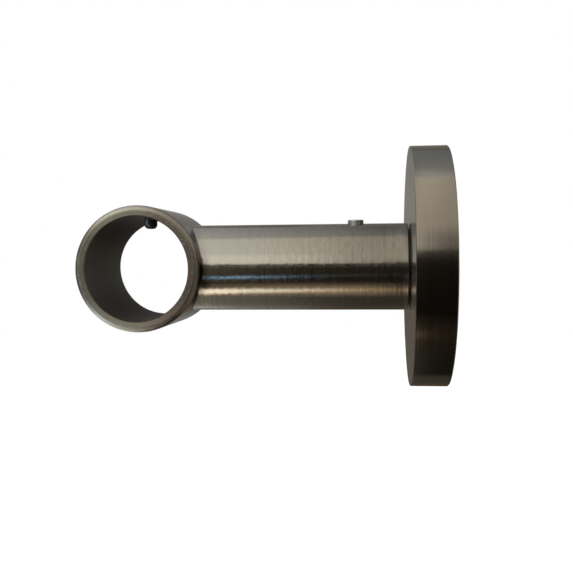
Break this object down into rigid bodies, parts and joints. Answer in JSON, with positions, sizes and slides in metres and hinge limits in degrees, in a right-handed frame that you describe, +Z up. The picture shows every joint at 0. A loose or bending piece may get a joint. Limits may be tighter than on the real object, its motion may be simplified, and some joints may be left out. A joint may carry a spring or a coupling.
{
  "type": "curtain pole bracket",
  "caption": "Curtain pole bracket: a ring for the pole on a round stem that clamps over a spigot, with a round rose hiding the wall plate.",
  "frame": {"origin": "centre of the wall plate's back face, on the wall", "axes": "+Y into the wall, along the stem; +X along the pole; +Z up, the side with the set screws"},
  "size_m": [0.0604, 0.0919, 0.0604],
  "materials": {
    "brushed_plating": "brushed warm grey plating, satin",
    "zinc_plated_steel": "bright zinc plate",
    "turned_steel": "turned, plain",
    "dark_screw_steel": "oil-blacked"
  },
  "bodies": {
    "root": {"bracket_arm": "brushed_plating", "wall_rose": "brushed_plating", "wall_plate": "zinc_plated_steel", "spigot": "turned_steel", "spigot_screw": "zinc_plated_steel", "stem_grub_screw": "dark_screw_steel", "pole_grub_screw": "dark_screw_steel"}
  },
  "joints": []
}
